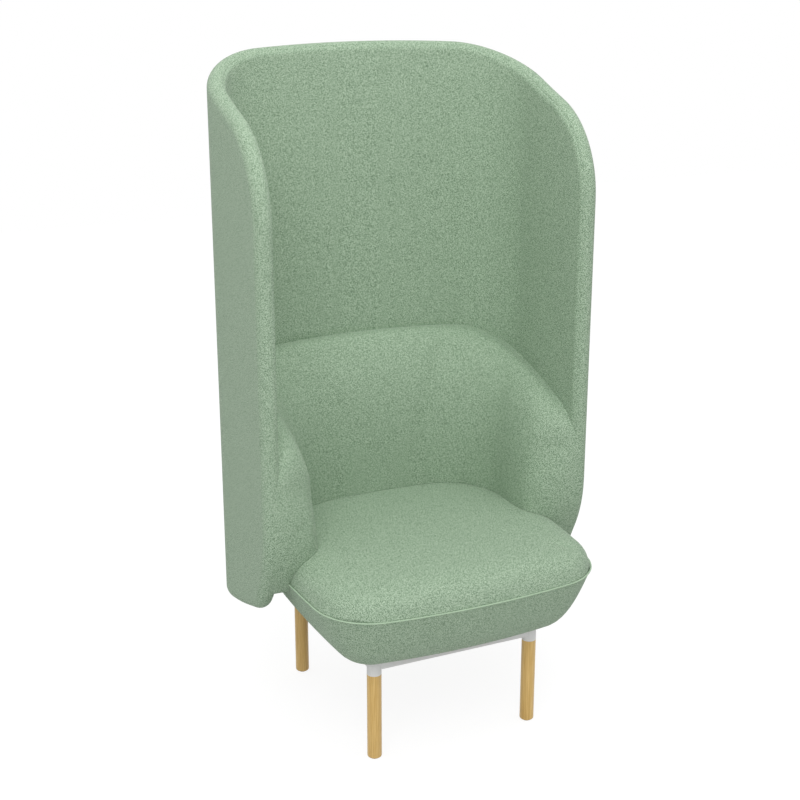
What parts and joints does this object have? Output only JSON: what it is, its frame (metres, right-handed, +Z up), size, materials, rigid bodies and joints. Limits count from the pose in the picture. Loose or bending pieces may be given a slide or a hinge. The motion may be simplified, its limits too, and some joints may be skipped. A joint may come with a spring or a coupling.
{
  "type": "high back lounge chair",
  "caption": "High-backed lounge chair: padded acoustic screen curved round back and sides, wrap-round bolster, crowned seat with raised seam, painted steel underframe and turned wooden legs.",
  "frame": {"origin": "on the floor, under the middle of the chair's overall width and depth", "axes": "+X to the right as seen from the front, -Y towards the front of the seat, +Z up"},
  "size_m": [0.788, 0.6799, 1.4897],
  "materials": {
    "upholstery": "matt woven wool blend, sage green with a fine melange",
    "piping": "matt woven cord, a little lighter than the covers",
    "plywood": "unfinished birch plywood",
    "oak": "clear satin lacquer, honey coloured straight grain",
    "white_steel": "fine-textured white powder coat",
    "zinc_steel": "bright zinc plate",
    "glide": "moulded nylon, matt dark grey"
  },
  "bodies": {
    "root": {"screen_outer": "upholstery", "screen_inner": "upholstery", "bolster": "upholstery", "seat_cushion": "upholstery", "seat_base": "upholstery", "seat_piping": "piping", "screen_core": "plywood", "seat_board": "plywood", "rail_front": "white_steel", "rail_rear": "white_steel", "rail_left": "white_steel", "rail_right": "white_steel", "socket_front_left": "white_steel", "corner_plate_front_left": "white_steel", "leg_front_left": "oak", "glide_front_left": "glide", "socket_front_right": "white_steel", "corner_plate_front_right": "white_steel", "leg_front_right": "oak", "glide_front_right": "glide", "socket_back_left": "white_steel", "corner_plate_back_left": "white_steel", "leg_back_left": "oak", "glide_back_left": "glide", "socket_back_right": "white_steel", "corner_plate_back_right": "white_steel", "leg_back_right": "oak", "glide_back_right": "glide", "nut_plates": "white_steel", "leg_studs": "zinc_steel", "board_nuts": "zinc_steel", "board_bolts": "zinc_steel", "bracket_left": "zinc_steel", "bracket_right": "zinc_steel", "bracket_rear": "zinc_steel", "screen_spacers": "zinc_steel", "screen_bolts": "zinc_steel", "screen_nuts": "zinc_steel"}
  },
  "joints": []
}
